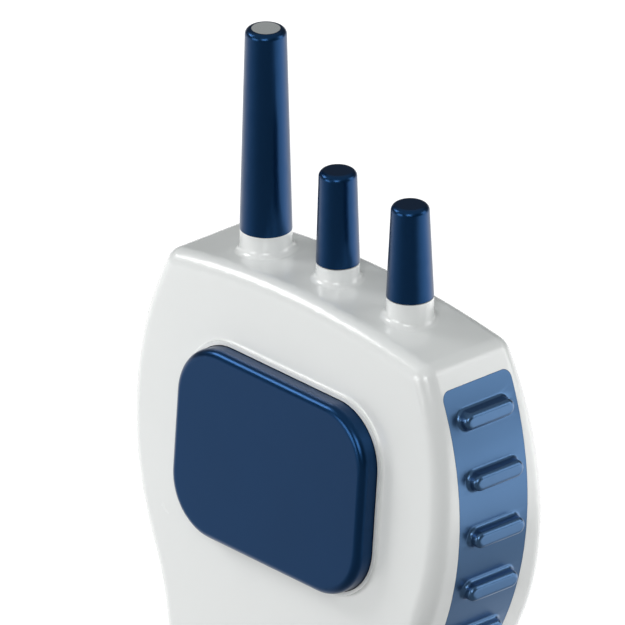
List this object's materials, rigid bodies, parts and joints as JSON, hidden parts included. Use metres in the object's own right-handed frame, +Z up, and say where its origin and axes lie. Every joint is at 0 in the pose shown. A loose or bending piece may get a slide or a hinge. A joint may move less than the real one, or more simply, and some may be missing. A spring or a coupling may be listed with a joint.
{
  "type": "toy walkie talkie",
  "caption": "Hourglass toy walkie talkie: press-to-talk button, turning volume and channel knobs, soft antenna, ribbed side grips and a lift-off battery door.",
  "frame": {"origin": "middle of the flat base the radio stands on", "axes": "+Z up along the body and the antenna, -Y out of the front face with the button, +X to the channel knob's side"},
  "size_m": [0.076, 0.0378, 0.162],
  "materials": {
    "antenna_navy": "satin moulded elastomer",
    "battery_jacket": "printed steel jacket, plain",
    "black_plastic": "moulded black packages",
    "board_green": "solder-masked glass-epoxy board",
    "coil_copper": "enamelled copper wire",
    "contact_metal": "nickel-plated spring steel",
    "control_navy": "satin-gloss moulded plastic",
    "ferrule_brass": "turned brass",
    "gasket_felt": "adhesive felt ring",
    "grip_blue": "soft-touch thermoplastic elastomer",
    "housing_white": "satin-gloss injection-moulded ABS",
    "lead_black": "PVC-insulated hook-up wire",
    "lead_red": "PVC-insulated hook-up wire",
    "lead_yellow": "PVC-insulated hook-up wire",
    "magnet_grey": "sintered ferrite and plated cup",
    "screw_steel": "zinc-plated pan-head screws",
    "shaft_metal": "turned rod",
    "soft_rubber": "moulded rubber boot",
    "speaker_paper": "black pulp cone",
    "switch_stem_red": "moulded actuator",
    "tinned_can": "tin-plated steel",
    "tip_metal": "turned and satin finished"
  },
  "bodies": {
    "radio": {"antenna_coil": "coil_copper", "antenna_ferrule": "ferrule_brass", "antenna_lead_yellow": "lead_yellow", "antenna_sleeve": "antenna_navy", "antenna_tip": "tip_metal", "back_cover": "housing_white", "battery_1": "battery_jacket", "battery_2": "battery_jacket", "battery_3": "battery_jacket", "battery_lead_black": "lead_black", "battery_lead_red": "lead_red", "board_header": "black_plastic", "board_screws": "screw_steel", "capacitors": "black_plastic", "channel_control": "tinned_can", "contact_plates": "contact_metal", "contact_spring_1": "contact_metal", "contact_spring_2": "contact_metal", "contact_spring_3": "contact_metal", "control_board": "board_green", "cover_screws": "screw_steel", "crystal_can": "tinned_can", "housing": "housing_white", "left_grip": "grip_blue", "main_board": "board_green", "microphone": "shaft_metal", "microphone_boot": "soft_rubber", "microphone_lead_yellow": "lead_yellow", "radio_chip": "black_plastic", "right_grip": "grip_blue", "speaker_basket": "tinned_can", "speaker_cone": "speaker_paper", "speaker_gasket": "gasket_felt", "speaker_lead_black": "lead_black", "speaker_lead_red": "lead_red", "speaker_magnet": "magnet_grey", "talk_switch_body": "black_plastic", "transistors": "black_plastic", "tuning_coils": "tinned_can", "volume_control": "tinned_can"},
    "talk_button": {"talk_button": "control_navy", "talk_stem": "switch_stem_red"},
    "volume": {"volume_knob": "control_navy", "volume_shaft": "shaft_metal"},
    "channel": {"channel_knob": "control_navy", "channel_shaft": "shaft_metal"},
    "door": {"battery_door": "housing_white", "door_screw": "screw_steel"}
  },
  "joints": [
    {"name": "talk_press", "type": "slide", "parent": "radio", "child": "talk_button", "axis": [0, 0.9969, -0.0785], "range_m": [0, 0.0015], "stiffness_N_per_m": 500, "springref_m": -0.001},
    {"name": "volume_turn", "type": "hinge", "parent": "radio", "child": "volume", "pos_m": [0, 0, 0.1278], "axis": [0, 0, 1], "range_deg": [-270, 0]},
    {"name": "channel_turn", "type": "hinge", "parent": "radio", "child": "channel", "pos_m": [0.01667, 0, 0.1278], "axis": [0, 0, 1], "range_deg": [-120, 0]},
    {"name": "door_lift", "type": "slide", "parent": "radio", "child": "door", "axis": [0, 0.9969, 0.0785], "range_m": [0, 0.03]}
  ]
}
